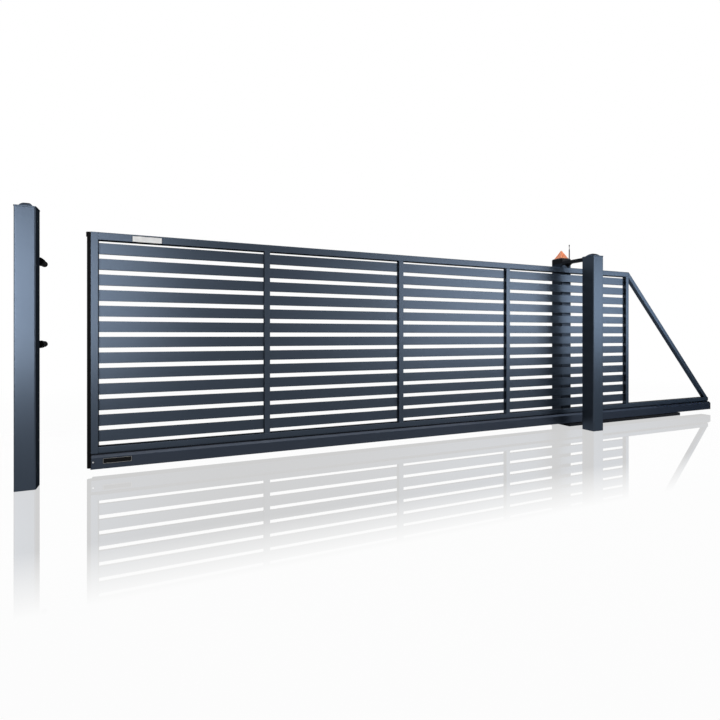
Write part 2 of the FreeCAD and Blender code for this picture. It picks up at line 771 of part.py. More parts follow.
def warning_lamp():
    """Four-sided pyramid lens on a low square foot."""
    body = new_body("warning_lamp")
    low = new_sketch(body, "warning_lamp_foot", "XY_Plane")
    half = "(%s - lamp_in)" % HEAD_TOP
    rectangle(low, "-%s" % half, "-%s" % half, half, half)
    pad(body, low, "lamp_foot_h")
    lens = body.newObject("PartDesign::AdditiveWedge", "warning_lamp_lens")
    lens.AttachmentSupport = (plane(body, "XZ_Plane"), [""])
    lens.MapMode = "FlatFace"
    reach = "(%s - lamp_step)" % half
    spans = (("min", "-%s" % reach), ("max", reach), ("2min", "-lamp_tip / 2"), ("2max", "lamp_tip / 2"))
    for name, text in spans:
        lens.setExpression("X" + name, ex(text))
        lens.setExpression("Z" + name, ex(text))
    lens.setExpression("Ymin", ex("lamp_foot_h"))
    lens.setExpression("Ymax", ex("lamp_h"))
    place(body, "0", "drive_y", "%s + head_h" % DRIVE_TOP)


warning_lamp()


def aerial():
    """Short rod aerial with a thicker lower part and a knob on its tip."""
    body = new_body("aerial")
    steps = (("sleeve", "aerial_low_d", "0", "aerial_low_h"),
             ("rod", "aerial_d", "aerial_low_h", "aerial_h - aerial_tip_h - aerial_low_h"),
             ("knob", "aerial_tip_d", "aerial_h - aerial_tip_h", "aerial_tip_h"))
    for name, diameter, foot, height in steps:
        ring = new_sketch(body, "aerial_" + name, "XY_Plane", foot)
        circle(ring, "0", "0", diameter)
        pad(body, ring, height)
    corner = "(%s - aerial_in)" % HEAD_TOP
    place(body, corner, "drive_y - %s" % corner, "%s + head_h" % DRIVE_TOP)


aerial()

doc.recompute()

bodies = [item for item in doc.Objects if item.TypeId == "PartDesign::Body"]
for item in doc.Objects:
    if "Invalid" in item.State or "Error" in item.State:
        raise RuntimeError("%s: %s" % (item.Label, item.State))
os.makedirs("parts", exist_ok=True)
for body in bodies:
    if body.Shape.isNull() or not body.Shape.isValid():
        raise RuntimeError(body.Label)
    body.Shape.exportStep("parts/%s.step" % body.Label)
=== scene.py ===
"""Looks of a self-supporting sliding driveway gate in slate powder coat.

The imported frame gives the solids. This script dresses them with procedural finishes, adds the blank
plates, the screws and the plug, and sets up a pale studio with the camera of the photograph.
"""

import json
import logging
import math
from dataclasses import dataclass, replace
from enum import Enum

import bmesh
import bpy
from mathutils import Matrix, Vector


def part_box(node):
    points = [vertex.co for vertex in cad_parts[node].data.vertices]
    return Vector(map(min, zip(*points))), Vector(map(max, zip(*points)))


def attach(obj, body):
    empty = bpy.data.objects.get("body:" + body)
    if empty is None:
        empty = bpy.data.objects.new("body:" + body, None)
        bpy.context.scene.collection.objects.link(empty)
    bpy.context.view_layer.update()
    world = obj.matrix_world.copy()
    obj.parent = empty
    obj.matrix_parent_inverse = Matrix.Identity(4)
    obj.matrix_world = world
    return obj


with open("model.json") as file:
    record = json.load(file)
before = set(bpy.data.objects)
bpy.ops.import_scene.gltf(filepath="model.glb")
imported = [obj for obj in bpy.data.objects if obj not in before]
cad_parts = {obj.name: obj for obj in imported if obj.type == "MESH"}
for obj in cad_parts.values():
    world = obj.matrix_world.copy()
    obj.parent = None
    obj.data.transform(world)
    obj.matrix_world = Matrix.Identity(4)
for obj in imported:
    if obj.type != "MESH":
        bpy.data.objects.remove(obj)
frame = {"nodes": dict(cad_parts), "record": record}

Colour = tuple[float, float, float]
Point = tuple[float, float, float]
Span = tuple[float, float]
Socket = bpy.types.NodeSocket
Value = Socket | float | tuple[float, ...]
Tree = bpy.types.ShaderNodeTree
Material = bpy.types.Material

LOG = logging.getLogger("gate")
WHITE = (1.0, 1.0, 1.0, 1.0)
UNIT: Span = (0.0, 1.0)
# Middle part of a noise's range, where nearly all of its values lie.
NOISE: Span = (0.3, 0.7)
# Sockets of a Mix node in colour mode, which share their names with its other modes.
MIX_FACTOR, MIX_LOW, MIX_HIGH, MIX_RESULT = 0, 6, 7, 2


class Body(Enum):
    """Rigid bodies of the gate that the added pieces ride on."""

    LEAF = "leaf"


class Slot(Enum):
    """Material slots of the record, handed to the added pieces, which don't use them."""

    PLASTIC = "black_plastic"
    ZINC = "zinc_steel"


class Side(Enum):
    """Side of the leaf that a fitting is fixed to, as the sign of its outward Y."""

    FRONT = -1
    BACK = 1


def feed(tree: Tree, source: Value, target: Socket) -> None:
    """Links a socket to an input, or sets the input to a plain value.

    Args:
        tree: Node tree of the input.
        source: Socket or plain value.
        target: The input.
    """
    if isinstance(source, Socket):
        tree.links.new(source, target)
    else:
        target.default_value = source


def compute(tree: Tree, operation: str, *terms: Value) -> Socket:
    """Result of a Math node.

    Args:
        tree: Node tree that gets the node.
        operation: What the node does.
        *terms: Its inputs in order.

    Returns:
        The value socket.
    """
    node = tree.nodes.new("ShaderNodeMath")
    node.operation = operation
    for target, term in zip(node.inputs, terms):
        feed(tree, term, target)
    return node.outputs["Value"]


def remap(tree: Tree, value: Socket, source: Span, target: Span = UNIT) -> Socket:
    """Maps one range of values to another, held at its ends.

    Args:
        tree: Node tree that gets the node.
        value: Socket with the value.
        source: Start and end of the range that comes in.
        target: What the start and the end turn into.

    Returns:
        The value socket.
    """
    node = tree.nodes.new("ShaderNodeMapRange")
    for title, number in zip(("From Min", "From Max", "To Min", "To Max"), (*source, *target)):
        node.inputs[title].default_value = number
    feed(tree, value, node.inputs["Value"])
    return node.outputs["Result"]


def noise(tree: Tree, vector: Socket, scale: Value, detail: float,
          roughness: float = 0.5) -> Socket:
    """Noise on given coordinates.

    Args:
        tree: Node tree that gets the node.
        vector: Socket with the coordinates.
        scale: Its scale.
        detail: Its octaves.
        roughness: How strong the higher octaves are.

    Returns:
        The value socket.
    """
    node = tree.nodes.new("ShaderNodeTexNoise")
    node.inputs["Detail"].default_value = detail
    node.inputs["Roughness"].default_value = roughness
    feed(tree, vector, node.inputs["Vector"])
    feed(tree, scale, node.inputs["Scale"])
    return node.outputs["Fac"]


def blend(tree: Tree, factor: Socket, low: Socket, high: Socket) -> Socket:
    """Mix of two shaders.

    Args:
        tree: Node tree that gets the node.
        factor: Share of the second shader.
        low: First shader.
        high: Second shader.

    Returns:
        The shader socket.
    """
    node = tree.nodes.new("ShaderNodeMixShader")
    for target, source in zip(node.inputs, (factor, low, high)):
        feed(tree, source, target)
    return node.outputs["Shader"]


class Effects:
    """Shader node groups that several finishes share."""

    # Upward part of a normal that holds dust.
    UPWARD: Span = (0.55, 1.0)
    # Cosine between a face and its rounded normal, from flat to a sharp edge.
    SHARP: Span = (0.98, 0.80)
    EDGE_SAMPLES = 4
    # Open share of the view from a point, from free to shut in, over which the painted shade deepens.
    SHUT: Span = (0.92, 0.78)
    CORNER_SAMPLES = 6

    def __init__(self) -> None:
        """Builds each group once."""
        self.peel = self._peel()
        self.dust = self._dust()
        self.edge = self._edge()
        self.corner = self._corner_shade()

    @staticmethod
    def _group(name: str, inputs: tuple[str, ...], outputs: tuple[str, ...]) -> Tree:
        """Starts a node group with value sockets.

        Args:
            name: Name of the group.
            inputs: Names of its inputs.
            outputs: Names of its outputs.

        Returns:
            The group, with its group input and output nodes.
        """
        group = bpy.data.node_groups.new(name, "ShaderNodeTree")
        for title in inputs:
            group.interface.new_socket(title, in_out="INPUT", socket_type="NodeSocketFloat")
        for title in outputs:
            group.interface.new_socket(title, in_out="OUTPUT", socket_type="NodeSocketFloat")
        group.nodes.new("NodeGroupInput")
        group.nodes.new("NodeGroupOutput")
        return group

    @staticmethod
    def _masked(group: Tree, mask: Socket, strength: str) -> Tree:
        """Ends a group with a mask, weighed by one of its inputs.

        Args:
            group: The group.
            mask: Socket with the mask.
            strength: Name of the input that weighs it.

        Returns:
            The group.
        """
        share = compute(group, "MULTIPLY", mask, group.nodes["Group Input"].outputs[strength])
        feed(group, share, group.nodes["Group Output"].inputs["Mask"])
        return group

    def _peel(self) -> Tree:
        """Fine orange peel of a sprayed coat, with a slow drift of tone.

        Returns:
            Group with outputs Height and Tone.
        """
        group = self._group("coat_peel", ("Scale", "Drift"), ("Height", "Tone"))
        given, out = group.nodes["Group Input"].outputs, group.nodes["Group Output"].inputs
        place = group.nodes.new("ShaderNodeTexCoord").outputs["Object"]
        feed(group, noise(group, place, given["Scale"], detail=3.0, roughness=0.55), out["Height"])
        feed(group, noise(group, place, given["Drift"], detail=2.0), out["Tone"])
        return group

    def _dust(self) -> Tree:
        """Thin dust that settles on faces that look up, broken by a cloudy noise.

        Returns:
            Group with output Mask.
        """
        group = self._group("settled_dust", ("Amount", "Scale"), ("Mask",))
        shape = group.nodes.new("ShaderNodeNewGeometry")
        split = group.nodes.new("ShaderNodeSeparateXYZ")
        feed(group, shape.outputs["Normal"], split.inputs["Vector"])
        upward = remap(group, split.outputs["Z"], self.UPWARD)
        place = group.nodes.new("ShaderNodeTexCoord").outputs["Object"]
        cloud = noise(group, place, group.nodes["Group Input"].outputs["Scale"], detail=6.0)
        return self._masked(group, compute(group, "MULTIPLY", upward, cloud), "Amount")

    def _edge(self) -> Tree:
        """Mask along sharp outside edges: the coats go lighter there for a thin coat and a painted
        highlight, the plastic for rubbed wear.

        Returns:
            Group with output Mask.
        """
        group = self._group("edge_thin_coat_and_highlight", ("Radius", "Strength"), ("Mask",))
        shape = group.nodes.new("ShaderNodeNewGeometry")
        bevel = group.nodes.new("ShaderNodeBevel")
        bevel.samples = self.EDGE_SAMPLES
        turn = group.nodes.new("ShaderNodeVectorMath")
        turn.operation = "DOT_PRODUCT"
        feed(group, group.nodes["Group Input"].outputs["Radius"], bevel.inputs["Radius"])
        feed(group, bevel.outputs["Normal"], turn.inputs[0])
        feed(group, shape.outputs["Normal"], turn.inputs[1])
        return self._masked(group, remap(group, turn.outputs["Value"], self.SHARP), "Strength")

    def _corner_shade(self) -> Tree:
        """Mask in narrow gaps and inside corners, where painted shade darkens the colour.

        Returns:
            Group with output Mask.
        """
        group = self._group("corner_painted_shade", ("Reach", "Strength"), ("Mask",))
        # Painted shade: ambient occlusion finds the places that little light reaches.
        near = group.nodes.new("ShaderNodeAmbientOcclusion")
        near.samples = self.CORNER_SAMPLES
        feed(group, group.nodes["Group Input"].outputs["Reach"], near.inputs["Distance"])
        return self._masked(group, remap(group, near.outputs["AO"], self.SHUT), "Strength")


class Shader:
    """A material under construction: one Principled BSDF and the nodes that feed it."""

    BEVEL_SAMPLES = 6

    def __init__(self, name: str) -> None:
        """Starts a material with a bare Principled BSDF.

        Args:
            name: Name of the material.
        """
        self.material = bpy.data.materials.new(name)
        self.material.use_nodes = True
        self.tree = self.material.node_tree
        self.surface = self.tree.nodes["Principled BSDF"]

    def node(self, kind: str) -> bpy.types.Node:
        """New node of a kind."""
        return self.tree.nodes.new(kind)

    def set(self, title: str, value: Value) -> None:
        """Links a socket to an input of the Principled BSDF, or sets it to a plain value."""
        feed(self.tree, value, self.surface.inputs[title])

    def effect(self, group: Tree, **values: float) -> bpy.types.NodeOutputs:
        """Places a shared effect with its own values.

        Args:
            group: The effect's node group.
            **values: Values of its inputs by name.

        Returns:
            The effect's outputs.
        """
        node = self.node("ShaderNodeGroup")
        node.node_tree = group
        for title, value in values.items():
            node.inputs[title].default_value = value
        return node.outputs

    def mix(self, factor: Socket, low: Socket | Colour, high: Colour) -> Socket:
        """Colour between two by a factor.

        Args:
            factor: Socket with the factor.
            low: Colour at 0, plain or as a socket.
            high: Colour at 1.

        Returns:
            The colour socket.
        """
        node = self.node("ShaderNodeMix")
        node.data_type = "RGBA"
        start = low if isinstance(low, Socket) else (*low, 1.0)
        feed(self.tree, factor, node.inputs[MIX_FACTOR])
        feed(self.tree, start, node.inputs[MIX_LOW])
        feed(self.tree, (*high, 1.0), node.inputs[MIX_HIGH])
        return node.outputs[MIX_RESULT]

    def mottle(self, cloud: Socket, low: Colour, high: Colour, share: float = 1.0) -> Socket:
        """Colour that wanders from one towards another with a noise.

        Args:
            cloud: Socket with the noise.
            low: Colour where the noise is low.
            high: Colour that it goes towards.
            share: How far it goes.

        Returns:
            The colour socket.
        """
        return self.mix(remap(self.tree, cloud, NOISE, (0.0, share)), low, high)

    def roughen(self, cloud: Socket, rough: Span) -> None:
        """Gives the surface a roughness that follows a noise."""
        self.set("Roughness", remap(self.tree, cloud, NOISE, rough))

    def relief(self, height: Socket, depth: float, radius: float) -> None:
        """Bump on the surface, over rounded edges.

        Args:
            height: Socket with the height.
            depth: Depth of the bump in metres.
            radius: Radius of the rounded edges in metres.
        """
        bevel = self.node("ShaderNodeBevel")
        bevel.samples = self.BEVEL_SAMPLES
        bevel.inputs["Radius"].default_value = radius
        bump = self.node("ShaderNodeBump")
        bump.inputs["Strength"].default_value = 1.0
        bump.inputs["Distance"].default_value = depth
        feed(self.tree, height, bump.inputs["Height"])
        feed(self.tree, bevel.outputs["Normal"], bump.inputs["Normal"])
        self.set("Normal", bump.outputs["Normal"])


@dataclass(frozen=True)
class PowderCoat:
    """Sprayed and baked coat on steel: satin, with a fine orange peel and slightly thin edges,
    painted lighter also as a highlight.

    Dust lies on its upward faces, and painted shade darkens its inside corners where that is asked
    for.
    """

    name: str
    colour: Colour
    drift: Colour
    thin_coat_and_highlight: Colour
    rough: Span
    flake: float = 0.0
    specular: float = 0.02
    rim: Colour = (1.0, 1.0, 1.0)
    peel_scale: float = 520.0
    peel_depth: float = 0.00004
    drift_scale: float = 1.7
    tube_radius: float = 0.0025
    edge_radius: float = 0.0025
    edge_strength: float = 0.35
    dust: Colour = (0.16, 0.16, 0.155)
    dust_amount: float = 0.22
    dust_scale: float = 14.0
    # Colour, strength and reach of the painted shade in inside corners and gaps.
    painted_shade: Colour = (0.006, 0.007, 0.009)
    corner: float = 0.0
    shade_reach: float = 0.03

    def material(self, effects: Effects) -> Material:
        """Builds the coat.

        Args:
            effects: Shared node groups.

        Returns:
            The material.
        """
        shader = Shader(self.name)
        peel = shader.effect(effects.peel, Scale=self.peel_scale, Drift=self.drift_scale)
        dust = shader.effect(effects.dust, Amount=self.dust_amount, Scale=self.dust_scale)
        edge = shader.effect(effects.edge, Radius=self.edge_radius, Strength=self.edge_strength)
        corner = shader.effect(effects.corner, Reach=self.shade_reach, Strength=self.corner)
        coat = shader.mottle(peel["Tone"], self.colour, self.drift)
        # Edges go lighter: the coat is thin there, and the lighter tone is partly a painted
        # highlight.
        worn = shader.mix(edge["Mask"], coat, self.thin_coat_and_highlight)
        dusty = shader.mix(dust["Mask"], worn, self.dust)
        # Painted shade: the colour goes dark where ambient occlusion finds a corner or gap.
        shader.set("Base Color", shader.mix(corner["Mask"], dusty, self.painted_shade))
        shader.set("Metallic", self.flake)
        shader.set("Specular IOR Level", self.specular)
        shader.set("Specular Tint", (*self.rim, 1.0))
        shader.roughen(peel["Height"], self.rough)
        shader.relief(peel["Height"], self.peel_depth, self.tube_radius)
        return shader.material


@dataclass(frozen=True)
class Rubber:
    """Matt extruded or moulded rubber with a soft bloom."""

    name: str
    colour: Colour = (0.007, 0.007, 0.0075)
    bloom: Colour = (0.012, 0.012, 0.0125)
    rough: Span = (0.62, 0.78)
    specular: float = 0.02
    grain_scale: float = 900.0
    grain_depth: float = 0.00006
    bloom_scale: float = 24.0
    edge_radius: float = 0.0015
    dust: Colour = (0.10, 0.10, 0.098)
    dust_amount: float = 0.06
    dust_scale: float = 40.0

    def material(self, effects: Effects) -> Material:
        """Builds the rubber.

        Args:
            effects: Shared node groups.

        Returns:
            The material.
        """
        shader = Shader(self.name)
        peel = shader.effect(effects.peel, Scale=self.grain_scale, Drift=self.bloom_scale)
        dust = shader.effect(effects.dust, Amount=self.dust_amount, Scale=self.dust_scale)
        skin = shader.mottle(peel["Tone"], self.colour, self.bloom)
        shader.set("Base Color", shader.mix(dust["Mask"], skin, self.dust))
        shader.set("Specular IOR Level", self.specular)
        shader.roughen(peel["Tone"], self.rough)
        shader.relief(peel["Height"], self.grain_depth, self.edge_radius)
        return shader.material


@dataclass(frozen=True)
class MouldedPlastic:
    """Black plastic with a spark-eroded moulding texture and rubbed edges."""

    name: str
    colour: Colour = (0.006, 0.007, 0.009)
    worn: Colour = (0.014, 0.015, 0.018)
    wear: float = 0.5
    rough: Span = (0.40, 0.56)
    specular: float = 0.03
    grain_scale: float = 1400.0
    grain_depth: float = 0.00005
    wear_scale: float = 8.0
    edge_radius: float = 0.002
    edge_strength: float = 0.5
    dust: Colour = (0.12, 0.12, 0.118)
    dust_amount: float = 0.12
    dust_scale: float = 30.0

    def material(self, effects: Effects) -> Material:
        """Builds the plastic.

        Args:
            effects: Shared node groups.

        Returns:
            The material.
        """
        shader = Shader(self.name)
        peel = shader.effect(effects.peel, Scale=self.grain_scale, Drift=self.wear_scale)
        dust = shader.effect(effects.dust, Amount=self.dust_amount, Scale=self.dust_scale)
        edge = shader.effect(effects.edge, Radius=self.edge_radius, Strength=self.edge_strength)
        skin = shader.mottle(peel["Tone"], self.colour, self.worn, self.wear)
        rubbed = shader.mix(edge["Mask"], skin, self.worn)
        shader.set("Base Color", shader.mix(dust["Mask"], rubbed, self.dust))
        shader.set("Specular IOR Level", self.specular)
        shader.roughen(peel["Height"], self.rough)
        shader.relief(peel["Height"], self.grain_depth, self.edge_radius)
        return shader.material


@dataclass(frozen=True)
class AmberLens:
    """Cloudy orange lens with fine moulded ribs, and a faint painted glow in place of light passing
    through it.
    """

    name: str
    colour: Colour = (0.49, 0.14, 0.056)
    pale: Colour = (0.55, 0.20, 0.098)
    cloud_scale: float = 18.0
    # Strength of the painted glow: emission that stands in for light passing through the cloudy lens.
    glow: float = 0.10
    roughness: float = 0.42
    specular: float = 0.08
    rib_scale: float = 75.0
    rib_depth: float = 0.0004
    edge_radius: float = 0.0012

    def material(self, effects: Effects) -> Material:
        """Builds the lens.

        Args:
            effects: Shared node groups.

        Returns:
            The material.
        """
        shader = Shader(self.name)
        peel = shader.effect(effects.peel, Drift=self.cloud_scale)
        tint = shader.mottle(peel["Tone"], self.colour, self.pale)
        shader.set("Base Color", tint)
        # Painted glow: the lens tint is emitted faintly, in place of light passing through it.
        shader.set("Emission Color", tint)
        shader.set("Emission Strength", self.glow)
        shader.set("Roughness", self.roughness)
        shader.set("Specular IOR Level", self.specular)
        place = shader.node("ShaderNodeTexCoord")
        ribs = shader.node("ShaderNodeTexWave")
        ribs.bands_direction = "Z"
        ribs.inputs["Scale"].default_value = self.rib_scale
        feed(shader.tree, place.outputs["Object"], ribs.inputs["Vector"])
        shader.relief(ribs.outputs["Fac"], self.rib_depth, self.edge_radius)
        return shader.material


@dataclass(frozen=True)
class PlatedSteel:
    """Zinc-plated steel with fine streaks and dull patches."""

    name: str
    colour: Colour = (0.42, 0.43, 0.44)
    dull: Colour = (0.25, 0.255, 0.26)
    dull_scale: float = 35.0
    metallic: float = 0.9
    rough: Span = (0.26, 0.48)
    streak_scale: float = 90.0
    streak_detail: float = 5.0
    streak_stretch: Point = (1.0, 1.0, 14.0)
    streak_depth: float = 0.00004
    edge_radius: float = 0.0012
    dust: Colour = (0.20, 0.195, 0.185)
    dust_amount: float = 0.35
    dust_scale: float = 30.0

    def material(self, effects: Effects) -> Material:
        """Builds the plating.

        Args:
            effects: Shared node groups.

        Returns:
            The material.
        """
        shader = Shader(self.name)
        peel = shader.effect(effects.peel, Drift=self.dull_scale)
        dust = shader.effect(effects.dust, Amount=self.dust_amount, Scale=self.dust_scale)
        plate = shader.mottle(peel["Tone"], self.colour, self.dull)
        shader.set("Base Color", shader.mix(dust["Mask"], plate, self.dust))
        shader.set("Metallic", self.metallic)
        place = shader.node("ShaderNodeTexCoord")
        stretch = shader.node("ShaderNodeMapping")
        stretch.inputs["Scale"].default_value = self.streak_stretch
        feed(shader.tree, place.outputs["Object"], stretch.inputs["Vector"])
        streak = noise(shader.tree, stretch.outputs["Vector"], self.streak_scale,
                       self.streak_detail)
        shader.roughen(streak, self.rough)
        shader.relief(streak, self.streak_depth, self.edge_radius)
        return shader.material


@dataclass(frozen=True)
class BlankFoil:
    """Blank foil: a plain, slightly cloudy face."""

    name: str
    colour: Colour
    cloud: Colour
    rough: Span = (0.29, 0.46)
    specular: float = 0.2
    grain_scale: float = 700.0
    grain_depth: float = 0.00002
    cloud_scale: float = 26.0
    edge_radius: float = 0.0006

    def material(self, effects: Effects) -> Material:
        """Builds the foil.

        Args:
            effects: Shared node groups.

        Returns:
            The material.
        """
        shader = Shader(self.name)
        peel = shader.effect(effects.peel, Scale=self.grain_scale, Drift=self.cloud_scale)
        shader.set("Base Color", shader.mottle(peel["Tone"], self.colour, self.cloud))
        shader.set("Specular IOR Level", self.specular)
        shader.roughen(peel["Height"], self.rough)
        shader.relief(peel["Height"], self.grain_depth, self.edge_radius)
        return shader.material


class Finishes:
    """All finishes of the gate, each built once."""

    def __init__(self) -> None:
        """Builds the shared effects and the materials."""
        effects = Effects()
        slate = PowderCoat("slate_coat", (0.033, 0.043, 0.059), (0.037, 0.048, 0.065),
                           (0.062, 0.078, 0.102), (0.27, 0.39), flake=0.75, specular=0.0,
                           rim=(0.04, 0.045, 0.05))
        # The rails and the track take painted shade in their inside corners: under the top rail and
        # in the crease above the track.
        rail = replace(slate, name="slate_coat_on_rail", corner=1.0, tube_radius=0.007)
        track = replace(slate, name="slate_coat_on_track", colour=(0.0297, 0.037, 0.0515),
                        drift=(0.0333, 0.0413, 0.0568), thin_coat_and_highlight=(0.056, 0.067, 0.089),
                        corner=0.8, shade_reach=0.014)
        column = replace(slate, name="dark_slate_coat", colour=(0.0145, 0.0185, 0.0255),
                         drift=(0.0165, 0.021, 0.0285), thin_coat_and_highlight=(0.030, 0.037, 0.048))
        black = PowderCoat("black_coat", (0.012, 0.014, 0.018), (0.015, 0.017, 0.021),
                           (0.022, 0.024, 0.028), (0.39, 0.51))
        buffer = Rubber("black_buffer_rubber", (0.002, 0.002, 0.0023), (0.0045, 0.0045, 0.005),
                        specular=0.006)
        foil = BlankFoil("pale_foil", (0.78, 0.78, 0.77), (0.70, 0.70, 0.70))
        trim = BlankFoil("plate_trim", (0.34, 0.335, 0.32), (0.26, 0.255, 0.245))
        badge = BlankFoil("dark_badge", (0.006, 0.006, 0.0065), (0.009, 0.009, 0.0095),
                          rough=(0.23, 0.40), specular=0.05)
        self.slate = slate.material(effects)
        self.rail = rail.material(effects)
        self.column = column.material(effects)
        self.track = track.material(effects)
        self.black = black.material(effects)
        self.rubber = Rubber("black_rubber").material(effects)
        self.buffer = buffer.material(effects)
        self.plastic = MouldedPlastic("black_plastic").material(effects)
        self.lens = AmberLens("amber_lens").material(effects)
        self.zinc = PlatedSteel("zinc_steel").material(effects)
        self.foil = foil.material(effects)
        self.trim = trim.material(effects)
        self.badge = badge.material(effects)

    @staticmethod
    def dress(name: str, material: Material) -> None:
        """Gives one of the frame's nodes a finish.

        Args:
            name: Name of the node.
            material: Its finish.
        """
        slots = frame["nodes"][name].data.materials
        slots.clear()
        slots.append(material)
        LOG.info("dressed %s with %s", name, material.name)


class Piece:
    """A new mesh piece, shaped in a bmesh and then fixed to a body."""

    # Distance within which points are one.
    WELD = 1e-6
    # Least cosine between a direction and a face that looks along it.
    FACING = 0.99

    def __init__(self, name: str) -> None:
        """Starts an empty mesh.

        Args:
            name: Name of the piece.
        """
        self.name = name
        self.bm = bmesh.new()

    def block(self, size: Point, centre: Point) -> None:
        """Adds a box.

        Args:
            size: Lengths along X, Y and Z.
            centre: Its centre.
        """
        made = bmesh.ops.create_cube(self.bm, size=1.0)["verts"]
        bmesh.ops.scale(self.bm, vec=Vector(size), verts=made)
        bmesh.ops.translate(self.bm, vec=Vector(centre), verts=made)

    def drum(self, radius: float, height: float, segments: int) -> None:
        """Adds a drum about Z, standing on the origin.

        Args:
            radius: Its radius.
            height: Its height.
            segments: Sides round it.
        """
        made = bmesh.ops.create_cone(self.bm, cap_ends=True, cap_tris=False, segments=segments,
                                     radius1=radius, radius2=radius, depth=height)["verts"]
        bmesh.ops.translate(self.bm, vec=Vector((0.0, 0.0, height / 2)), verts=made)

    def edges_at(self, height: float) -> list[bmesh.types.BMEdge]:
        """Edges that lie at a height."""
        return [edge for edge in self.bm.edges
                if all(abs(vert.co.z - height) < self.WELD for vert in edge.verts)]

    def round_edges(self, edges: list[bmesh.types.BMEdge], radius: float, segments: int) -> None:
        """Rounds some edges.

        Args:
            edges: Edges to round.
            radius: Radius of the rounding.
            segments: Faces across it.
        """
        bmesh.ops.bevel(self.bm, geom=edges, offset=radius, offset_type="OFFSET", affect="EDGES",
                        segments=segments, profile=0.5, material=-1)

    def face_looking(self, direction: Vector) -> bmesh.types.BMFace:
        """Largest face that looks along a direction."""
        near = [face for face in self.bm.faces if face.normal.dot(direction) > self.FACING]
        return max(near, key=lambda face: face.calc_area())

    def place(self, turn: Matrix, centre: Point) -> None:
        """Turns the piece about the origin and moves it to its place.

        Args:
            turn: The rotation.
            centre: Where the origin goes.
        """
        bmesh.ops.rotate(self.bm, cent=(0, 0, 0), matrix=turn, verts=self.bm.verts)
        bmesh.ops.translate(self.bm, vec=Vector(centre), verts=self.bm.verts)

    def finish(self, body: Body, material: Material,
               smooth: bool = False) -> bpy.types.Object:
        """Makes the object, fixes it to a body and gives it its finish.

        Args:
            body: Body that carries it.
            material: Its finish.
            smooth: Whether its faces are shaded smooth.

        Returns:
            The object.
        """
        bmesh.ops.remove_doubles(self.bm, verts=self.bm.verts, dist=self.WELD)
        bmesh.ops.recalc_face_normals(self.bm, faces=self.bm.faces)
        for face in self.bm.faces:
            face.smooth = smooth
        mesh = bpy.data.meshes.new(self.name)
        self.bm.to_mesh(mesh)
        self.bm.free()
        mesh.materials.append(material)
        made = bpy.data.objects.new(self.name, mesh)
        bpy.context.scene.collection.objects.link(made)
        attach(made, body.value)
        LOG.info("made %s on %s", self.name, body.value)
        return made


@dataclass
class BlankPlate:
    """Thin plate on the front of the leaf, with rounded corners and a raised rim, left blank."""

    name: str
    across: Span
    upright: Span
    seat: float
    thickness: float = 0.0012
    corner: float = 0.003
    corner_segments: int = 5
    rim: float = 0.0022
    step: float = 0.0004

    def build(self, slot: Slot, material: Material, border: Material) -> None:
        """Builds the plate.

        Args:
            slot: Record slot of its finish; not used.
            material: Finish of its face.
            border: Finish of its rim and edges.
        """
        piece = Piece(self.name)
        width = self.across[1] - self.across[0]
        height = self.upright[1] - self.upright[0]
        middle = self.seat - self.thickness / 2
        piece.block((width, self.thickness, height),
                    (sum(self.across) / 2, middle, sum(self.upright) / 2))
        corners = [edge for edge in piece.bm.edges
                   if abs(edge.verts[0].co.y - edge.verts[1].co.y) > self.thickness / 2]
        piece.round_edges(corners, self.corner, self.corner_segments)
        piece.bm.normal_update()
        face = piece.face_looking(Vector((0.0, -1.0, 0.0)))
        bmesh.ops.inset_region(piece.bm, faces=[face], thickness=self.rim, depth=0.0)
        bmesh.ops.translate(piece.bm, vec=Vector((0.0, self.step, 0.0)), verts=list(face.verts))
        for side in piece.bm.faces:
            side.material_index = 0 if side is face else 1
        piece.finish(Body.LEAF, material).data.materials.append(border)


@dataclass
class Screw:
    """Pan-head screw on the leaf with a hexagon socket, seated on a face across Y."""

    name: str
    centre: Point
    side: Side
    radius: float = 0.0052
    height: float = 0.0030
    socket: float = 0.0021
    sink: float = 0.0016
    segments: int = 24
    round_segments: int = 3

    def build(self, slot: Slot, material: Material) -> None:
        """Builds the screw.

        Args:
            slot: Record slot of its finish; not used.
            material: Its finish.
        """
        piece = Piece(self.name)
        piece.drum(self.radius, self.height, self.segments)
        piece.round_edges(piece.edges_at(self.height), self.height / 2, self.round_segments)
        piece.bm.normal_update()
        face = piece.face_looking(Vector((0.0, 0.0, 1.0)))
        bmesh.ops.inset_region(piece.bm, faces=[face], thickness=(self.radius - self.socket) / 2,
                               depth=0.0)
        half_side = math.pi / 6
        for vert in face.verts:
            turn = math.atan2(vert.co.y, vert.co.x) % (2 * half_side) - half_side
            reach = self.socket * math.cos(half_side) / math.cos(turn)
            vert.co.x, vert.co.y = vert.co.xy.normalized() * reach
        well = bmesh.ops.extrude_face_region(piece.bm, geom=[face])
        bottom = [item for item in well["geom"] if isinstance(item, bmesh.types.BMVert)]
        bmesh.ops.translate(piece.bm, vec=Vector((0.0, 0.0, -self.sink)), verts=bottom)
        bmesh.ops.delete(piece.bm, geom=[face], context="FACES_ONLY")
        piece.place(Matrix.Rotation(-self.side.value * math.pi / 2, 3, "X"), self.centre)
        piece.finish(Body.LEAF, material)


@dataclass
class Plug:
    """Round push-in plug with a domed head, in a face of the leaf that looks along -X."""

    name: str
    centre: Point
    radius: float = 0.0095
    height: float = 0.009
    segments: int = 32
    round_segments: int = 5

    def build(self, slot: Slot, material: Material) -> None:
        """Builds the plug.

        Args:
            slot: Record slot of its finish; not used.
            material: Its finish.
        """
        piece = Piece(self.name)
        piece.drum(self.radius, self.height, self.segments)
        piece.round_edges(piece.edges_at(self.height), self.height / 2, self.round_segments)
        piece.place(Matrix.Rotation(-math.pi / 2, 3, "Y"), self.centre)
        piece.finish(Body.LEAF, material, smooth=True)


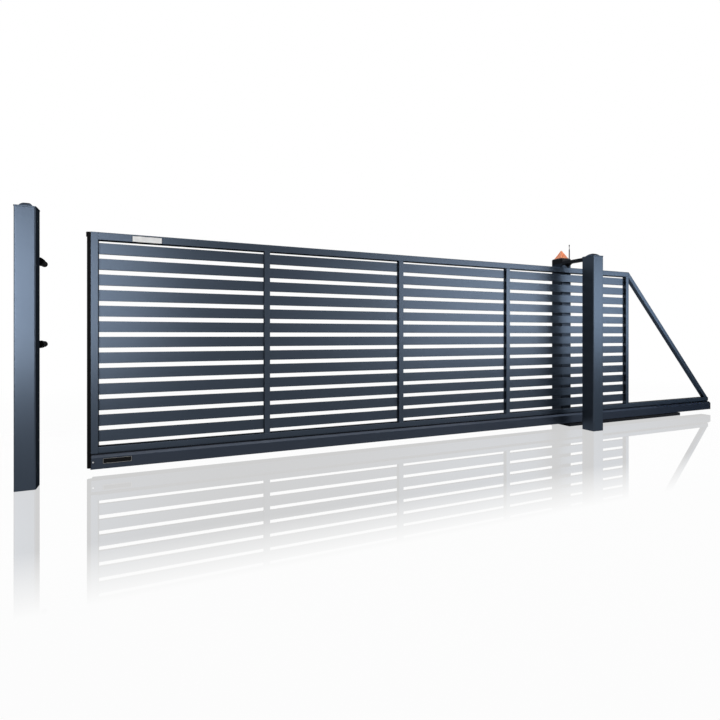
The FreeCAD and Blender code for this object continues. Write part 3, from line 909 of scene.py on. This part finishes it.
@dataclass
class Leaf:
    """Sliding leaf: frame, slats, track, safety edge and the small fittings on it."""

    label_x: Span = (-3.8775, -3.7005)
    label_z: Span = (1.4885, 1.5270)
    badge_x: Span = (-4.0445, -3.8810)
    badge_z: Span = (0.0675, 0.0995)
    screw_x: float = -4.0995
    screw_z: float = 0.0800
    plug_z: float = 0.290
    rails: tuple[str, ...] = ("top_rail", "bottom_rail")
    caps: tuple[str, ...] = ("track_front_cap", "track_tail_cap")

    def dress(self, finishes: Finishes) -> None:
        """Gives the leaf's nodes their finishes: slate, apart from a few.

        Args:
            finishes: The gate's finishes.
        """
        others = {"safety_edge": finishes.rubber, "track": finishes.track}
        others.update(dict.fromkeys(self.caps, finishes.plastic))
        others.update(dict.fromkeys(self.rails, finishes.rail))
        for name in sorted(frame["record"]["behaviour"]["bodies"][Body.LEAF.value]):
            finishes.dress(name, others.get(name, finishes.slate))

    def build(self, finishes: Finishes) -> None:
        """Builds the plates, screws and plug.

        Args:
            finishes: The gate's finishes.
        """
        rail_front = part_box("top_rail")[0][1]
        track_low, track_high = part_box("track")
        stile_low, stile_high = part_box("rear_stile")
        stile_middle = (stile_low[1] + stile_high[1]) / 2
        label = BlankPlate("rail_label", self.label_x, self.label_z, rail_front)
        label.build(Slot.ZINC, finishes.foil, finishes.trim)
        badge = BlankPlate("track_badge", self.badge_x, self.badge_z, track_low[1])
        badge.build(Slot.PLASTIC, finishes.badge, finishes.trim)
        for name, seat, side in (("track_screw_front", track_low[1], Side.FRONT),
                                 ("track_screw_back", track_high[1], Side.BACK)):
            Screw(name, (self.screw_x, seat, self.screw_z), side).build(Slot.ZINC, finishes.zinc)
        plug = Plug("rear_stile_plug", (stile_low[0], stile_middle, self.plug_z))
        plug.build(Slot.PLASTIC, finishes.plastic)


@dataclass
class Portal:
    """Guide post, drive post, cross arm, drive head with lamp and aerial, base and trolleys."""

    slate: tuple[str, ...] = ("front_guide_post", "front_guide_post_cap")
    plastic: tuple[str, ...] = ("drive_head", "aerial", "roller_boss", "guide_roller")
    black: tuple[str, ...] = ("cross_arm", "base_channel")
    zinc: tuple[str, ...] = ("trolley_1", "trolley_1_wheels", "trolley_2", "trolley_2_wheels")

    def dress(self, finishes: Finishes) -> None:
        """Gives the portal's nodes their finishes.

        Args:
            finishes: The gate's finishes.
        """
        for names, material in ((self.slate, finishes.slate), (self.plastic, finishes.plastic),
                                (self.black, finishes.black), (self.zinc, finishes.zinc)):
            for name in names:
                finishes.dress(name, material)
        finishes.dress("drive_post", finishes.column)
        finishes.dress("warning_lamp", finishes.lens)


@dataclass
class ReceivingPost:
    """Post that the leaf closes on, with its cap and stop pegs."""

    slate: tuple[str, ...] = ("receiving_post", "receiving_post_cap")

    def dress(self, finishes: Finishes) -> None:
        """Gives the post's nodes their finishes.

        Args:
            finishes: The gate's finishes.
        """
        for name in self.slate:
            finishes.dress(name, finishes.slate)
        finishes.dress("stop_pegs", finishes.buffer)


@dataclass(frozen=True)
class Lamp:
    """Soft rectangular studio lamp, with a grid where its spread is small."""

    name: str
    place: Point
    aim: Point
    size: Span
    power: float
    spread: float = 180.0
    gloss_only: bool = False

    def build(self) -> None:
        """Places the lamp, kept off matt faces where it is for gloss alone."""
        data = bpy.data.lights.new(self.name, "AREA")
        data.shape = "RECTANGLE"
        data.size, data.size_y = self.size
        data.energy = self.power
        data.spread = math.radians(self.spread)
        lamp = bpy.data.objects.new(self.name, data)
        lamp.location = self.place
        sight = Vector(self.aim) - Vector(self.place)
        lamp.rotation_euler = sight.to_track_quat("-Z", "Y").to_euler()
        lamp.visible_diffuse = not self.gloss_only
        bpy.context.scene.collection.objects.link(lamp)


@dataclass
class Studio:
    """Pale floor and background, soft lamps and the camera of the photograph."""

    eye: Point = (-3.7307, -3.1879, 0.8790)
    yaw: float = 23.26
    lens: float = 23.61
    sensor: float = 36.0
    shift: float = -0.03415
    far: float = 200.0
    air: Colour = (0.94, 0.97, 1.0)
    fill: float = 0.10
    grid: float = 70.0
    floor_size: float = 60.0
    paint: Colour = (0.50, 0.50, 0.505)
    paint_roughness: float = 0.5
    paint_specular: float = 0.2
    lift: float = 0.96
    sheen: float = 0.36
    sheen_blur: float = 0.02
    sheen_line: float = 0.25
    sheen_reach: Span = (1.15, 1.68)
    fade_x: float = -1.2
    fade: Span = (3.5, 7.5)

    @staticmethod
    def seen(tree: Tree, path: bpy.types.NodeOutputs) -> Socket:
        """Whether a ray looks straight, by gloss or through glass.

        Args:
            tree: Node tree of the Light Path node.
            path: That node's outputs.

        Returns:
            The value socket.
        """
        bare = compute(tree, "MAXIMUM", path["Is Camera Ray"], path["Is Glossy Ray"])
        return compute(tree, "MAXIMUM", bare, path["Is Transmission Ray"])

    def world(self) -> None:
        """White for what the camera, gloss and glass see, a soft fill for the rest."""
        world = bpy.data.worlds.new("studio")
        bpy.context.scene.world = world
        world.use_nodes = True
        tree = world.node_tree
        fill = tree.nodes["Background"]
        fill.inputs["Color"].default_value = (*self.air, 1.0)
        fill.inputs["Strength"].default_value = self.fill
        white = tree.nodes.new("ShaderNodeBackground")
        white.inputs["Color"].default_value = WHITE
        seen = self.seen(tree, tree.nodes.new("ShaderNodeLightPath").outputs)
        whole = blend(tree, seen, fill.outputs["Background"], white.outputs["Background"])
        feed(tree, whole, tree.nodes["World Output"].inputs["Surface"])

    def floor_paint(self) -> Material:
        """Paint that the camera sees nearly white, with a faint mirror image near the gate.

        Returns:
            The material, fading into the white of the background.
        """
        shader = Shader("floor_paint")
        tree = shader.tree
        shader.set("Base Color", (*self.paint, 1.0))
        shader.set("Roughness", self.paint_roughness)
        shader.set("Specular IOR Level", self.paint_specular)
        glow = shader.node("ShaderNodeEmission")
        glow.inputs["Color"].default_value = WHITE
        white = glow.outputs["Emission"]
        mirror = shader.node("ShaderNodeBsdfGlossy")
        mirror.inputs["Color"].default_value = WHITE
        mirror.inputs["Roughness"].default_value = self.sheen_blur
        path = shader.node("ShaderNodeLightPath").outputs
        seen = self.seen(tree, path)
        lift = compute(tree, "MULTIPLY", seen, self.lift)
        paint = blend(tree, lift, shader.surface.outputs["BSDF"], white)
        place = shader.node("ShaderNodeTexCoord").outputs["Object"]
        split = shader.node("ShaderNodeSeparateXYZ")
        feed(tree, place, split.inputs["Vector"])
        offset = compute(tree, "SUBTRACT", split.outputs["Y"], self.sheen_line)
        away = compute(tree, "ABSOLUTE", offset)
        near = remap(tree, away, self.sheen_reach, (self.sheen, 0.0))
        sheen = compute(tree, "MULTIPLY", near, path["Is Camera Ray"])
        shiny = blend(tree, sheen, paint, mirror.outputs["BSDF"])
        centred = shader.node("ShaderNodeMapping")
        centred.inputs["Location"].default_value = (-self.fade_x, 0.0, 0.0)
        feed(tree, place, centred.inputs["Vector"])
        distance = shader.node("ShaderNodeVectorMath")
        distance.operation = "LENGTH"
        feed(tree, centred.outputs["Vector"], distance.inputs[0])
        fade = remap(tree, distance.outputs["Value"], self.fade)
        whole = blend(tree, compute(tree, "MULTIPLY", fade, seen), shiny, white)
        feed(tree, whole, tree.nodes["Material Output"].inputs["Surface"])
        return shader.material

    def floor(self) -> None:
        """Floor under the gate, in its paint."""
        plane = bmesh.new()
        bmesh.ops.create_grid(plane, x_segments=1, y_segments=1, size=self.floor_size / 2)
        mesh = bpy.data.meshes.new("floor")
        plane.to_mesh(mesh)
        plane.free()
        mesh.materials.append(self.floor_paint())
        floor = bpy.data.objects.new("floor", mesh)
        bpy.context.scene.collection.objects.link(floor)

    def lamps(self) -> None:
        """A row of gridded softboxes before the gate, a strip above it and a softbox behind it."""
        grid = self.grid
        for lamp in (
            Lamp("left_softbox", (-6.1, -3.0, 1.47), (-4.7, 0.2, 1.52), (1.4, 1.9), 37.0, grid,
                 gloss_only=True),
            Lamp("stile_softbox", (-4.4, -3.0, 1.47), (-3.8, 0.2, 1.52), (1.1, 1.9), 7.6, grid),
            Lamp("middle_softbox", (-0.9, -3.0, 1.55), (-1.9, 0.2, 1.60), (1.6, 1.8), 2.2, grid),
            Lamp("portal_softbox", (1.1, -3.0, 1.52), (-1.2, 0.2, 1.57), (2.2, 1.8), 12.1, grid),
            Lamp("arm_softbox", (2.9, -3.0, 1.55), (-0.4, 0.2, 1.60), (1.4, 1.8), 4.4, grid),
            Lamp("post_softbox", (4.8, -3.0, 1.52), (0.6, 0.0, 1.57), (2.0, 1.8), 16.2, grid),
            Lamp("top_strip", (1.4, -0.35, 4.2), (1.4, -0.35, 0.0), (12.5, 1.0), 270.0),
            Lamp("back_softbox", (-1.0, 4.0, 5.6), (-1.0, 0.2, 0.8), (6.0, 2.0), 200.0),
        ):
            lamp.build()

    def camera(self) -> None:
        """Camera of the photograph: level, turned towards the tail."""
        data = bpy.data.cameras.new("camera")
        data.sensor_width = self.sensor
        data.lens = self.lens
        data.shift_y = self.shift
        data.clip_end = self.far
        camera = bpy.data.objects.new("camera", data)
        camera.location = self.eye
        camera.rotation_euler = (math.pi / 2, 0.0, -math.radians(self.yaw))
        bpy.context.scene.collection.objects.link(camera)
        bpy.context.scene.camera = camera

    def build(self) -> None:
        """Sets up the whole studio."""
        self.world()
        self.floor()
        self.lamps()
        self.camera()
        bpy.context.scene.view_settings.view_transform = "Standard"


def main() -> None:
    """Dresses the gate, adds its small pieces and sets up the studio."""
    logging.basicConfig(level=logging.INFO, format="%(name)s: %(message)s")
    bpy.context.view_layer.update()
    finishes = Finishes()
    leaf = Leaf()
    leaf.dress(finishes)
    leaf.build(finishes)
    Portal().dress(finishes)
    ReceivingPost().dress(finishes)
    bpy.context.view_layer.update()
    Studio().build()


if __name__ == "__main__":
    main()
